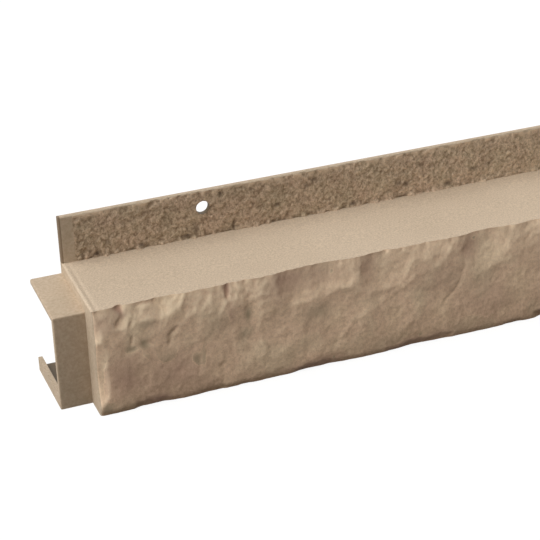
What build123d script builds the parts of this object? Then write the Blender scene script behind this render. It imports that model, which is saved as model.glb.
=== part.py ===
"""Stone-look ledge trim: one moulded length with a nailing flange, a ledge, a rock face and a joint tongue.

Millimetres, +Z up. X runs along the trim with the tongue at -X, +Y points at the wall, and the origin
is the middle of the underside of the box that holds the trim.
"""

import os
import random
from math import asin, degrees

from build123d import *

# Sizes of the stone-faced body
face_length = 1219.0
face_height = 63.5
ledge_depth = 58.0
ledge_fall = 2.0
flange_height = 28.0

# Walls of the moulding
flange_wall = 3.5
ledge_wall = 3.0
front_wall = 4.0
brow_wall = 6.5
lip_wall = 2.8
end_wall = 3.0
end_round = 1.8

# Tongue that slips inside the next trim, with a catch rib along the free end of its lip
tongue_length = 18.0
tongue_wall = 2.5
tongue_setback = 14.5
tongue_drop = 7.5
tongue_round = 0.9
catch_height = 8.4
catch_wall = 2.4
joint_gap = 1.0

# Nail holes along the flange
nail_hole_diameter = 8.0
nail_hole_height = 17.7
nail_hole_inset = 83.6
nail_hole_count = 4

# Rock face: how far it swells out between its brow and its skirt, and tucks back from there at the underside
rock_swell = 2.4
rock_tuck = 1.6
brow_height = 30.0
skirt_height = 7.0

# Chips broken out of the rock near the tongue, each a shallow round dish:
# place along the trim, place below the ledge's front edge, half width, depth
chips_by_hand = [
    (13.0, -3.0, 16.0, 3.8),
    (76.0, -2.0, 13.0, 3.6),
    (123.0, -9.0, 29.0, 5.6),
    (171.0, 0.0, 21.0, 4.6),
    (236.0, 2.0, 22.0, 5.0),
    (-4.0, 38.0, 22.0, 3.2),
    (43.0, 26.0, 20.0, 2.0),
    (71.0, 40.0, 19.0, 1.9),
    (93.0, 27.0, 15.0, 1.5),
    (131.0, 40.0, 25.0, 2.0),
    (176.0, 38.0, 16.0, 1.6),
    (213.0, 42.0, 21.0, 2.0),
    (249.0, 44.0, 17.0, 1.8),
    (32.0, face_height + 2.5, 15.0, 3.4),
    (67.0, face_height + 2.5, 13.0, 2.8),
    (137.0, face_height + 4.5, 19.0, 3.6),
    (188.0, face_height + 3.5, 22.0, 3.8),
]
hand_chips_end = 258.0

# Uneven rows of chips along the rest of the rock: place below the edge, pitch, half width, depth
chip_rows = [
    (-3.0, 58.0, 25.0, 5.0),
    (36.0, 54.0, 24.0, 1.9),
    (face_height + 3.5, 58.0, 20.0, 3.6),
]
chip_spread = 0.2
chip_seed = 11

# Derived places, measured from the wall plane at Y = 0 and the underside at Z = 0
ledge_reach = flange_wall + ledge_depth
ledge_back = face_height + ledge_fall
trim_height = ledge_back + flange_height
tongue_front = -(ledge_reach - tongue_setback)
cut_margin = 2.0


def ledge_level(y):
    """Height of the ledge's top at this distance in front of the wall."""
    return ledge_back + (y + flange_wall) * ledge_fall / ledge_depth


def prism(outline, start, end):
    """A bar along X between two places, with an outline of (Y, Z) points."""
    face = make_face(Polyline(*[(start, y, z) for y, z in outline], close=True))
    return extrude(face, amount=end - start, dir=(1, 0, 0))


def block(start, end):
    """A box from one corner to the opposite one."""
    size = [b - a for a, b in zip(start, end)]
    return Pos(*start) * Box(*size, align=(Align.MIN, Align.MIN, Align.MIN))


def scattered_chips():
    """Chips beyond those chosen by hand, in uneven rows."""
    dice = random.Random(chip_seed)
    chips = []
    for drop, pitch, half_width, depth in chip_rows:
        x = hand_chips_end + pitch / 2
        while x < face_length + half_width / 2:
            grow, sink, stride = [1 + chip_spread * dice.uniform(-1, 1) for _ in range(3)]
            shift = half_width * chip_spread * dice.uniform(-1, 1)
            chips.append((x, drop + shift, half_width * grow, depth * sink))
            x += pitch * stride
    return chips


def chip_tools():
    """Ball caps that each scoop one chip out of the rock's front."""
    caps = []
    for x, drop, half_width, depth in chips_by_hand + scattered_chips():
        ball_radius = (half_width**2 + depth**2) / (2 * depth)
        cap_start = degrees(asin(1 - (depth + cut_margin) / ball_radius))
        place = Pos(x, depth - ball_radius - ledge_reach - rock_swell, face_height - drop)
        cap = Sphere(ball_radius, arc_size1=cap_start, arc_size2=90, align=None)
        caps.append(place * Rot(X=-90) * cap)
    return caps


def rock_bar(brow_in, face_in, back, start, end):
    """A bar along X under the ledge, with the rock's brow and its face and skirt moved in by these walls."""
    edge = -ledge_reach
    outline = [
        (edge + brow_in, ledge_level(edge + brow_in)),
        (edge - rock_swell + face_in, face_height - brow_height),
        (edge - rock_swell + face_in, skirt_height),
        (edge - rock_swell + rock_tuck + face_in, 0),
        (back, 0),
        (back, ledge_level(back)),
    ]
    return prism(outline, start, end)


def stone_body():
    """The outside of the body, still solid: flange, ledge, rock face and flat underside."""
    bar = rock_bar(0, 0, -flange_wall / 2, 0, face_length)
    tongue_end = bar.faces().sort_by(Axis.X)[0].edges()
    back_and_underside = [tongue_end.sort_by(Axis.Y)[-1], tongue_end.sort_by(Axis.Z)[0]]
    rounded = fillet([edge for edge in tongue_end if edge not in back_and_underside], end_round)
    flange = block((0, -flange_wall, 0), (face_length, 0, trim_height))
    return rounded - chip_tools() + flange


def body_hollow():
    """The space inside the body: open at the wall and at the far end."""
    far = -2 * ledge_reach
    outline = [
        (far, lip_wall),
        (cut_margin, lip_wall),
        (cut_margin, ledge_level(cut_margin) - ledge_wall),
        (far, ledge_level(far) - ledge_wall),
    ]
    room = prism(outline, end_wall, face_length + cut_margin)
    return room & rock_bar(brow_wall, front_wall, cut_margin, end_wall, face_length + cut_margin)


def tongue_block():
    """The outside of the tongue, rounded at its free end and along the edge between its front and top."""
    outline = [
        (tongue_front, 0),
        (0, 0),
        (0, ledge_level(0) - tongue_drop),
        (tongue_front, ledge_level(tongue_front) - tongue_drop),
    ]
    bar = prism(outline, -tongue_length, end_wall)
    free_end = bar.faces().sort_by(Axis.X)[0].edges()
    front_and_top = bar.faces().sort_by(Axis.Y)[0].edges().sort_by(Axis.Z)[-1]
    return fillet([free_end.sort_by(Axis.Z)[-1], free_end.sort_by(Axis.Y)[0], front_and_top], tongue_round)


def tongue_hollow():
    """The space inside the tongue, which runs on through the end wall into the body."""
    roof = tongue_drop + tongue_wall
    inner_front = tongue_front + tongue_wall
    outline = [
        (inner_front, lip_wall),
        (cut_margin, lip_wall),
        (cut_margin, ledge_level(cut_margin) - roof),
        (inner_front, ledge_level(inner_front) - roof),
    ]
    return prism(outline, -tongue_length - cut_margin, end_wall + cut_margin)


def catch_rib():
    """The low wall that stands on the lip along the tongue's free end."""
    return block(
        (-tongue_length, tongue_front + tongue_wall, 0),
        (-tongue_length + catch_wall, 0, catch_height),
    )


def socket_notch():
    """The room cut out of the lip at the far end, where the next trim's tongue slides in."""
    return block(
        (face_length - tongue_length - joint_gap, tongue_front - joint_gap, -cut_margin),
        (face_length + cut_margin, cut_margin, lip_wall + cut_margin),
    )


def nail_holes():
    """Round holes through the flange, evenly spaced between the two end ones."""
    spacing = (face_length - 2 * nail_hole_inset) / (nail_hole_count - 1)
    drill = Cylinder(nail_hole_diameter / 2, flange_wall + 2 * cut_margin, rotation=(90, 0, 0))
    level = ledge_back + nail_hole_height
    return [
        Pos(nail_hole_inset + spacing * i, -flange_wall / 2, level) * drill for i in range(nail_hole_count)
    ]


def ledge_trim():
    """The whole moulding, with its origin under the middle of its box."""
    shell = stone_body() + tongue_block() - body_hollow() - tongue_hollow()
    trim = shell + catch_rib() - socket_notch() - nail_holes()
    box = trim.bounding_box()
    return Pos(-box.center().X, -box.center().Y, 0) * trim


trim = ledge_trim()
os.makedirs("parts", exist_ok=True)
export_step(trim, "parts/ledge_trim.step")
size = trim.bounding_box().size
print(f"ledge_trim {size.X:.1f} x {size.Y:.1f} x {size.Z:.1f} mm, {trim.volume / 1000:.1f} cm3")
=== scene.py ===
# %% [markdown]
# # A stone-look ledge trim
# The trim is one length of moulded polymer: a nailing flange with a stucco-rough front, a fine-sanded
# ledge that falls a little to the front, a rock face under it, and a plain tongue at the left end that
# slips into the next length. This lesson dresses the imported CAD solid. The CAD holds the section and
# the sizes, and Blender makes the skin: a fine closed mesh in the same frame that stands for the node.

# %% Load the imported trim
import math
import random

import bpy
import numpy as np
from mathutils import Matrix, Vector, noise


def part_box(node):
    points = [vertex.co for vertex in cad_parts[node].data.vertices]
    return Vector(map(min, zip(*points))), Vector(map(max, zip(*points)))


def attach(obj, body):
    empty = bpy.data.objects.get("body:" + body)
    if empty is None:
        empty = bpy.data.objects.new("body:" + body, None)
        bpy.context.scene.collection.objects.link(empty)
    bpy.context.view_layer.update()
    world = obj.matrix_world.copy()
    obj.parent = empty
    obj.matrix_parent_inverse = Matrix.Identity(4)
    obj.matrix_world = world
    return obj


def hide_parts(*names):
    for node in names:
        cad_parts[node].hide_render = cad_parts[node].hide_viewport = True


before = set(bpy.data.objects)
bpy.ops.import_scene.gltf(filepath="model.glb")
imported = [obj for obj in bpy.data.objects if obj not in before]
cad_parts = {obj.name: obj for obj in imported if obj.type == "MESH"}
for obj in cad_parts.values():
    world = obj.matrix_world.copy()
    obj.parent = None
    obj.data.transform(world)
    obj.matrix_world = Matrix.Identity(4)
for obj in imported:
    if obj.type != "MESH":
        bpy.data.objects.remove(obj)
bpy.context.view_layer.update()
MM = 0.001
low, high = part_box("ledge_trim")
print("ledge_trim box in mm", [round(v / MM, 2) for v in (*low, *high)])

# %% [markdown]
# ## Sizes
# Everything is drawn in the trim's own millimetres: x from the left end of the stone face, y from the
# wall plane (negative to the front), z from the underside. These are the CAD's driving sizes, and one
# small function carries a point into the shared frame. The node's box gives the place of the origin.

# %% Sizes of the moulding
FACE_HEIGHT = 63.5
LEDGE_DEPTH = 58.0
LEDGE_FALL = 2.0
FLANGE_WALL = 3.5
LEDGE_WALL = 3.0
FRONT_WALL = 4.0
BROW_WALL = 6.5
LIP_WALL = 2.8
END_WALL = 3.0
TONGUE_LENGTH = 18.0
TONGUE_WALL = 2.5
TONGUE_SETBACK = 14.5
TONGUE_DROP = 7.5
ROCK_SWELL = 2.4
ROCK_TUCK = 1.6
BROW_HEIGHT = 30.0
SKIRT_HEIGHT = 7.0
FACE_LENGTH = (high[0] - low[0]) / MM - TONGUE_LENGTH
TRIM_HEIGHT = high[2] / MM
LEDGE_REACH = FLANGE_WALL + LEDGE_DEPTH
LEDGE_BACK = FACE_HEIGHT + LEDGE_FALL
ORIGIN = Vector((low[0] + TONGUE_LENGTH * MM, high[1], 0))


def place(x, y, z):
    """A point in the trim's own millimetres, carried into the shared frame in metres."""
    return ORIGIN + Vector((x, y, z)) * MM


def ledge_level(y):
    """Height of the ledge's top at this distance in front of the wall."""
    return LEDGE_BACK + (y + FLANGE_WALL) * LEDGE_FALL / LEDGE_DEPTH


print(f"stone face {FACE_LENGTH:.0f} mm long, trim {TRIM_HEIGHT:.1f} mm high")

# %% [markdown]
# ## Camera
# The photograph looks down on the left end from the front left. Its focal length, place and small roll
# were worked out from the straight edges of the trim, so they are kept as plain values here.

# %% Camera
PHOTO_PX = 540
FOCAL_PX = 1682.0
SENSOR_MM = 36.0
SEEN_UNTIL = 50
CAMERA_PLACE = (-185.0, -821.5, 484.5)
CAMERA_AZIMUTH = math.radians(20.62)
CAMERA_ELEVATION = math.radians(27.21)
CAMERA_ROLL = math.radians(1.91)

camera_data = bpy.data.cameras.new("camera")
camera_data.sensor_width = SENSOR_MM
camera_data.lens = FOCAL_PX / PHOTO_PX * SENSOR_MM
camera_data.clip_end = SEEN_UNTIL
camera = bpy.data.objects.new("camera", camera_data)
bpy.context.collection.objects.link(camera)
turn = Matrix.Rotation(-CAMERA_AZIMUTH, 4, "Z")
tilt = Matrix.Rotation(math.pi / 2 - CAMERA_ELEVATION, 4, "X")
roll = Matrix.Rotation(-CAMERA_ROLL, 4, "Z")
camera.matrix_world = Matrix.Translation(place(*CAMERA_PLACE)) @ turn @ tilt @ roll
bpy.context.scene.camera = camera
print(f"lens {camera_data.lens:.1f} mm")

# %% [markdown]
# ## Drawing a bar
# Every block of this moulding is a bar along x with some outline. By hand, an outline is drawn by
# extruding one corner to the next, closing it, filling it and extruding the face. One function does
# that, and it serves the body, the tongue and all the cutting tools.

# %% Selection helpers
def deselect_all():
    """Leave nothing selected, so that the next operator acts on its own object alone."""
    bpy.ops.object.select_all(action="DESELECT")


def make_active(obj):
    """Select this object alone, for the operators that follow."""
    deselect_all()
    obj.select_set(True)
    bpy.context.view_layer.objects.active = obj


def enter_edit(selection):
    """Enter Edit Mode with everything selected (SELECT) or nothing (DESELECT)."""
    bpy.ops.object.mode_set(mode="EDIT")
    bpy.ops.mesh.select_all(action=selection)


def leave_edit():
    """Go back to Object Mode, and let Edit Mode pick points again when it comes back."""
    bpy.ops.mesh.select_mode(type="VERT")
    bpy.ops.object.mode_set(mode="OBJECT")


def select_edges(obj, wanted):
    """Enter Edit Mode with the edges selected whose two ends, in trim millimetres, pass a test."""
    enter_edit("DESELECT")
    bpy.ops.mesh.select_mode(type="EDGE")
    bpy.ops.object.mode_set(mode="OBJECT")
    for edge in obj.data.edges:
        edge.select = wanted([(obj.data.vertices[i].co - ORIGIN) / MM for i in edge.vertices])
    bpy.ops.object.mode_set(mode="EDIT")


# %% Outline and bar helpers
def draw_outline(name, x, corners):
    """A closed wire in the plane of x: each corner is extruded to the next, and the ends are joined."""
    deselect_all()
    bpy.ops.mesh.primitive_plane_add(size=MM, location=(0, 0, 0))
    wire = bpy.context.object
    wire.name = name
    enter_edit("SELECT")
    bpy.ops.mesh.merge(type="CENTER")
    here = place(x, *corners[0])
    bpy.ops.transform.translate(value=here)
    for corner in corners[1:]:
        there = place(x, *corner)
        bpy.ops.mesh.extrude_region_move(TRANSFORM_OT_translate={"value": there - here})
        here = there
    bpy.ops.mesh.select_all(action="DESELECT")
    leave_edit()
    for i in (0, len(wire.data.vertices) - 1):
        wire.data.vertices[i].select = True
    bpy.ops.object.mode_set(mode="EDIT")
    bpy.ops.mesh.edge_face_add()
    leave_edit()
    return wire


def make_bar(name, start, end, corners):
    """A closed bar along x from start to end, with this outline of (y, z) corners."""
    bar = draw_outline(name, start, corners)
    enter_edit("SELECT")
    bpy.ops.mesh.edge_face_add()
    bpy.ops.mesh.extrude_region_move(TRANSFORM_OT_translate={"value": ((end - start) * MM, 0, 0)})
    bpy.ops.mesh.select_all(action="SELECT")
    bpy.ops.mesh.normals_make_consistent(inside=False)
    leave_edit()
    return bar


# %% Modifier helpers
def apply_modifier(obj, kind, **settings):
    """Add one modifier, set it and apply it."""
    make_active(obj)
    modifier = obj.modifiers.new(kind.lower(), kind)
    for key, value in settings.items():
        setattr(modifier, key, value)
    bpy.ops.object.modifier_apply(modifier=modifier.name)


def combine(obj, tool, operation):
    """Join a tool to a piece, or cut it away, and then delete the tool."""
    apply_modifier(obj, "BOOLEAN", object=tool, operation=operation, solver="EXACT")
    bpy.data.objects.remove(tool)


# %% [markdown]
# ## The stone body as a fine grid
# A rock face needs many small faces, and the plain sides need few. The outline of the body is drawn
# once, its rock side and its flange front are subdivided into close rows, and a Screw modifier with
# no turn sweeps it along x. Sculpting on a plain cube with Multires would give small faces everywhere;
# this way they lie only where the stone is.

# %% Sweep the outline along the trim
ROCK_ROWS = 60
FLANGE_ROWS = 32
LEDGE_ROWS = 5
COLUMNS = 770
END_COLUMNS = 5
END_ROUND = 1.8
NEAR_COLUMNS = 320
NEAR_LENGTH = 285.0
SOFT_EDGE = 0.5
SAME_PLACE = 0.01

FLANGE_FOOT = (-FLANGE_WALL, LEDGE_BACK)
FLANGE_TOP = (-FLANGE_WALL, TRIM_HEIGHT - SOFT_EDGE)
ROCK_FOOT = (-LEDGE_REACH - ROCK_SWELL + ROCK_TUCK, 0)
ROCK_TOP = (-LEDGE_REACH, FACE_HEIGHT)
body_corners = [
    FLANGE_FOOT,
    FLANGE_TOP,
    (-FLANGE_WALL + SOFT_EDGE, TRIM_HEIGHT),
    (-SOFT_EDGE, TRIM_HEIGHT),
    (0, TRIM_HEIGHT - SOFT_EDGE),
    (0, 0),
    (-TONGUE_SETBACK, 0),
    ROCK_FOOT,
    ROCK_TOP,
]


def subdivide_side(wire, first, last, rows):
    """Cut the side between two corners into rows."""
    corners = [Vector((0, *corner)) for corner in (first, last)]

    def is_corner(point):
        return min((point - corner).length for corner in corners) < SAME_PLACE

    select_edges(wire, lambda ends: all(map(is_corner, ends)))
    bpy.ops.mesh.subdivide(number_cuts=rows - 1)
    leave_edit()


trim = draw_outline("ledge_trim_skin", 0, body_corners)
subdivide_side(trim, FLANGE_FOOT, FLANGE_TOP, FLANGE_ROWS)
subdivide_side(trim, ROCK_FOOT, ROCK_TOP, ROCK_ROWS)
subdivide_side(trim, ROCK_TOP, FLANGE_FOOT, LEDGE_ROWS)
outline_count = len(trim.data.vertices)
apply_modifier(
    trim, "SCREW", axis="X", angle=0, screw_offset=FACE_LENGTH * MM, steps=COLUMNS, render_steps=COLUMNS
)
print(outline_count, "points round the outline,", len(trim.data.polygons), "faces swept")

# %% [markdown]
# ## Reading the grid
# The sweep leaves its points ring after ring, so they fold into a table of columns and outline points.
# The rock's rows, the flange's rows and the ledge's rows are picked out of it by their place, and the
# columns are drawn closer together near the tongue, where the camera comes close.

# %% Pick out the rows of each side
points = np.empty(len(trim.data.vertices) * 3)
trim.data.vertices.foreach_get("co", points)
grid = (points.reshape(COLUMNS + 1, outline_count, 3) - np.array(ORIGIN)) / MM
outline = grid[0, :, 1:]
column_x = np.interp(
    np.arange(COLUMNS + 1),
    [0, END_COLUMNS, NEAR_COLUMNS, COLUMNS],
    [0, END_ROUND, NEAR_LENGTH, FACE_LENGTH],
)
grid[:, :, 0] = column_x[:, None]


def rows_between(first, last):
    """Indices of the outline points on the straight side from one corner to another, in order."""
    to_first, to_last = [np.linalg.norm(outline - np.array(corner), axis=1) for corner in (first, last)]
    found = np.flatnonzero(to_first + to_last < math.dist(first, last) + SAME_PLACE)
    return found[np.argsort(to_first[found])]


rock_rows = rows_between(ROCK_TOP, ROCK_FOOT)
flange_rows = rows_between(FLANGE_FOOT, FLANGE_TOP)
ledge_rows = rows_between(ROCK_TOP, FLANGE_FOOT)
print("rows: rock", len(rock_rows), "flange", len(flange_rows), "ledge", len(ledge_rows))

# %% [markdown]
# ## Breaking the rock
# Split stone breaks in flakes: each blow leaves a shallow dish with a sharp rim, often tipped to one
# side, and the rims left between dishes read as ridges. So the face starts as one gently leaning sheet
# that curls in at its foot, and each flake lowers it where its dish lies deeper. The dishes are drawn on
# a sheet of coordinates that noise has pulled about, so that no rim is a clean oval. The wide chips are
# the CAD's own, softened. The flakes near the tongue were chosen from the photograph.

# %% Lean of the face and pulled coordinates
CALM_END = 14.0
CALM_PULL = 0.2
PULL_ALONG = [(13.0, 3.2), (4.5, 1.0)]
PULL_DOWN = [(13.0, 2.4), (4.5, 0.9)]
LEAN_DROPS = [-4, 0, 9, 15, 56, 60, FACE_HEIGHT]
LEAN_STANDS = [-0.8, -0.3, 1.1, 1.5, 2.35, 2.2, 1.1]
FOOT_FROM = 54.0
FOOT_SPAN = 8.0
rock_x = grid[:, rock_rows, 0]
rock_drop = FACE_HEIGHT - grid[:, rock_rows, 2]


def rough(x, z, layers, seed):
    """Noise of several sizes: each layer has a grain size and a height in millimetres."""
    total = np.zeros(x.shape)
    for index, spot in enumerate(zip(x.flat, z.flat)):
        for size, height in layers:
            total.flat[index] += height * noise.noise((spot[0] / size, spot[1] / size, seed + size))
    return total


pull = np.clip(rock_x / CALM_END, CALM_PULL, 1)
pulled_x = rock_x + pull * rough(rock_x, rock_drop, PULL_ALONG, seed=21.0)
pulled_drop = rock_drop + pull * rough(rock_x, rock_drop, PULL_DOWN, seed=47.0)
stand = np.interp(pulled_drop, LEAN_DROPS, LEAN_STANDS)
foot = np.clip((rock_drop - FOOT_FROM) / FOOT_SPAN, 0, 1)
stand = (1 - foot) * stand + foot * np.interp(rock_drop, LEAN_DROPS, LEAN_STANDS)

# %% Chips of the CAD, softened
chips_by_hand = [
    # place along the trim, place below the edge, half width, depth
    (13, -3, 16, 3.8), (76, -2, 13, 3.6), (123, -9, 29, 5.6), (171, 0, 21, 4.6), (236, 2, 22, 5),
    (-4, 38, 22, 3.2), (43, 26, 20, 2), (71, 40, 19, 1.9), (93, 27, 15, 1.5), (131, 40, 25, 2),
    (176, 38, 16, 1.6), (213, 42, 21, 2), (249, 44, 17, 1.8), (32, FACE_HEIGHT + 2.5, 15, 3.4),
    (67, FACE_HEIGHT + 2.5, 13, 2.8), (137, FACE_HEIGHT + 4.5, 19, 3.6),
    (188, FACE_HEIGHT + 3.5, 22, 3.8),
]
HAND_CHIPS_END = 258.0
chip_rows = [(-3, 58, 25, 5), (36, 54, 24, 1.9), (FACE_HEIGHT + 3.5, 58, 20, 3.6)]
CHIP_SPREAD = 0.2
CHIP_SEED = 11
CHIP_SHARE = 0.25
CHIP_RIM = 1.5


def scattered_chips():
    """Chips beyond those listed, in uneven rows."""
    dice = random.Random(CHIP_SEED)
    for drop, pitch, half_width, depth in chip_rows:
        x = HAND_CHIPS_END + pitch / 2
        while x < FACE_LENGTH + half_width / 2:
            grow, sink, stride = [1 + CHIP_SPREAD * dice.uniform(-1, 1) for _ in range(3)]
            shift = half_width * CHIP_SPREAD * dice.uniform(-1, 1)
            yield x, drop + shift, half_width * grow, depth * sink
            x += pitch * stride


sunk = np.zeros(stand.shape)
for x, drop, half_width, depth in [*chips_by_hand, *scattered_chips()]:
    bowl = ((pulled_x - x) ** 2 + (pulled_drop - drop) ** 2) / half_width**2
    sunk = np.maximum(sunk, depth * np.clip(1 - bowl, 0, 1) ** CHIP_RIM)
stand = stand - CHIP_SHARE * sunk
print(f"rock stands {stand.min():.1f} to {stand.max():.1f} mm in front of the ledge's edge line")

# %% Flakes chosen one by one
flakes_by_hand = [
    # place along, place below the edge, half length, half height, stand at that place, depth of the dish
    # below its rim, tip along (above nought faces left), tip down (above nought faces up), turn
    (0, 36, 9.5, 17, -1.3, 1.6, 0.3, 0, 0),
    (0, 10, 5, 12, -0.5, 0.6, 0.36, 0.04, 0),
    (7, 6, 8, 8, 0.3, 0.6, 0.06, 0.16, 0),
    (14.5, 0, 3.4, 4.2, -2.4, 2.8, -0.1, 0.06, 0),
    (10.5, 6, 5.5, 7, 0, 0.4, -0.1, 0.16, 10),
    (17.3, 4.5, 3, 6, 0, 0.5, 0.38, 0.16, 22),
    (22.6, 8, 1.9, 4.2, 0.75, 0.4, 0.36, 0.16, 22),
    (21.8, 19.5, 1.3, 3.2, 1.3, 0.4, 0.34, 0.03, 12),
    (30, 5, 7.5, 9.5, -0.2, 0.4, -0.04, 0.25, -8),
    (43, 5, 8, 9.5, -0.2, 0.4, 0.07, 0.25, 10),
    (52, 8, 4, 8, 0.5, 0.6, -0.12, 0.12, 10),
    (60, 5, 7, 9.5, 0, 0.5, 0.02, 0.2, -6),
    (69, 5, 6, 8, -0.1, 0.8, -0.05, 0.12, 6),
    (75.8, 0, 2.8, 9, -1.8, 2.2, -0.08, 0.03, 4),
    (80.4, 3, 2.6, 8, 0, 0.6, 0.28, 0.1, -4),
    (85, 4, 2.6, 8, 0.3, 0.6, 0.22, 0.1, 6),
    (91, 5, 6, 10, 0.1, 0.5, 0.12, 0.18, 0),
    (95, 8, 3.2, 2, 1, 0.4, 0.12, 0.3, -35),
    (95, 28, 8, 18, 1.55, 0.8, 0.16, 0.02, 4),
    (83, 27, 9, 18, 1.2, 0.5, -0.06, 0.02, 0),
    (126, -4, 29, 25, -2.4, 4.4, 0, 0, 0),
    (178, -2, 18, 25, -1.2, 2.4, 0.14, 0.04, 0),
    (199, 3, 13, 11, -0.3, 0.3, 0.02, 0.2, 0),
    (242, -1, 18, 26, -1.4, 2.4, 0.15, 0.07, 0),
    (264, 3, 12, 11, -0.4, 1, 0.02, 0.22, 0),
    (150, 30, 16, 9, 1.2, 0.7, 0.04, 0.07, 20),
    (176, 31, 13, 8, 1.2, 0.7, 0.03, 0.08, 25),
    (196, 36, 16, 11, 1.5, 0.5, -0.03, 0.03, 20),
    (232, 38, 17, 12, 1.5, 0.5, -0.02, 0.04, -20),
    (47, 31, 16, 13, 1.4, 0.5, -0.03, -0.02, 0),
    (70, 33, 9, 14, 1.4, 0.5, 0.04, 0, 0),
    (112, 36, 15, 13, 1.4, 0.5, 0.03, 0.04, 0),
    (58.5, 40, 3, 4.5, 1.4, 0.6, -0.06, 0, 0),
    (31, 67, 14, 8, -1, 2.6, 0, -0.05, 0),
    (80, 69, 18, 7, -0.4, 2, 0, -0.05, 0),
    (128, 67.5, 24, 8, -1, 2.6, 0, -0.05, 0),
    (190, 67.5, 26, 9, -1, 2.6, 0, -0.05, 0),
    (250, 69, 18, 7, -0.6, 2, 0, -0.05, 0),
]
FLAKE_POWER = 2.6
FLAKE_REACH = 3.0
WIDE_FLAKE = 12.5


def flake(stand, x, drop, half_length, half_height, level, depth, tip_x, tip_drop, turn):
    """Lower the face where this dish lies deeper than what is there."""
    across = pulled_x - x
    down = pulled_drop - drop
    c, s = math.cos(math.radians(turn)), math.sin(math.radians(turn))
    along = np.abs(c * across + s * down) / half_length
    over = np.abs(c * down - s * across) / half_height
    bowl = along**FLAKE_POWER + over**FLAKE_POWER
    dish = level + depth * bowl + tip_x * across + tip_drop * down
    return np.where(bowl < FLAKE_REACH, np.minimum(stand, dish), stand)


def break_off(flakes, stand, smooth):
    """Knock off one flake after another, and note where a wide one has left its smooth bowl."""
    for item in flakes:
        lowered = flake(stand, *item)
        smooth = np.where(lowered < stand, item[2] > WIDE_FLAKE, smooth)
        stand = lowered
    return stand, smooth


stand, smooth = break_off(flakes_by_hand, stand, np.zeros(stand.shape, bool))
print(len(flakes_by_hand), "flakes by hand")

# %% Flakes thrown along the rest
FLAKE_SEED = 23
FAR_START = 272.0
FLAKE_SIZES = (0.65, 1.35)
FLAKE_SHIFTS = (-0.3, 0.3)
FLAKE_DEPTHS = (0.7, 1.3)
FLAKE_TURNS = (-35, 35)
far_flake_families = [
    # count, drop (from, to), half length, half height, stand, depth, most tip along, tip down (from, to)
    (20, (2, 5), 12, 10, -0.2, 0.9, 0.08, (0.16, 0.32)),
    (14, (-4, 0), 20, 22, -2.4, 4.2, 0.08, (0, 0.04)),
    (18, (0, 5), 6, 9, -0.2, 1.2, 0.16, (0.04, 0.12)),
    (36, (24, 44), 15, 11, 1.5, 0.5, 0.05, (-0.02, 0.05)),
    (26, (16, 52), 3, 4.5, 1.4, 0.7, 0.1, (-0.03, 0.05)),
    (22, (66, 68), 19, 7.5, -1, 2.4, 0.02, (-0.06, -0.04)),
]


def along_far(dice, count, start=FAR_START):
    """Uneven places along the far stretch, one in each equal share of it."""
    for i in range(count):
        yield start + (FACE_LENGTH - start) * (i + dice.random()) / count


def far_flakes():
    """Flakes of the same families as those listed, spread over the far stretch."""
    dice = random.Random(FLAKE_SEED)
    for count, drops, half_length, half_height, level, depth, tip, tips_down in far_flake_families:
        for x in along_far(dice, count):
            size = dice.uniform(*FLAKE_SIZES)
            drop = dice.uniform(*drops)
            dish = level + dice.uniform(*FLAKE_SHIFTS), depth * dice.uniform(*FLAKE_DEPTHS)
            tips = dice.uniform(-tip, tip), dice.uniform(*tips_down)
            turn = dice.uniform(*FLAKE_TURNS)
            yield x, drop, half_length * size, half_height * size, *dish, *tips, turn


thrown = list(far_flakes())
stand, smooth = break_off(thrown, stand, smooth)
print(len(thrown), "flakes thrown")

# %% [markdown]
# ## Facets, creases and grain
# Between the flakes the break is made of small facets, each tipped its own way: the cells of a Voronoi
# pattern give their places, and each plane flattens out at its cell's edge, so that no step is left
# between two. They are bolder along the brow, most of all near the tongue. A crack follows a line and
# has a soft bottom, so each crease is a line of a few points, and the face is lowered close to it. Last
# come small nicks that crumble the edge of the ledge, and noise in three sizes. A Displace modifier
# would do the same, but it can't keep the wall's thickness or the ledge's edge.

# %% Facets
facet_layers = [(12.0, 0.03), (5.5, 0.03), (3.2, 0.04)]
FACET_EDGE = 0.25
FACET_PLANE = 0.5
TIP_SCALE = 7.3
BROW_BREAK = 2.0
BROW_BREAK_REACH = 15.0
BROW_POWER = 4
WILD_BROW = [95.0, 115.0]
CALM_SHARE = 0.6


def facets(cell, slope):
    """Small planes tipped at random, one for each cell of a Voronoi pattern."""
    total = np.zeros(pulled_x.shape)
    for index, spot in enumerate(zip(pulled_x.flat, pulled_drop.flat)):
        point = Vector((spot[0] / cell, spot[1] / cell, FACET_PLANE))
        distances, centres = noise.voronoi(point)
        tip = noise.cell_vector(centres[0] * TIP_SCALE)
        offset = point - centres[0]
        height = 2 * cell * slope * ((tip.x - 0.5) * offset.x + (tip.y - 0.5) * offset.y)
        total.flat[index] = height * min(1, (distances[1] - distances[0]) / FACET_EDGE)
    return total


on_brow = np.exp(-((pulled_drop / BROW_BREAK_REACH) ** BROW_POWER))
wild = np.interp(rock_x, WILD_BROW, [1, CALM_SHARE])
broken = np.where(smooth, 1, 1 + BROW_BREAK * wild * on_brow)
for cell, slope in facet_layers:
    stand = stand + broken * facets(cell, slope)

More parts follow.
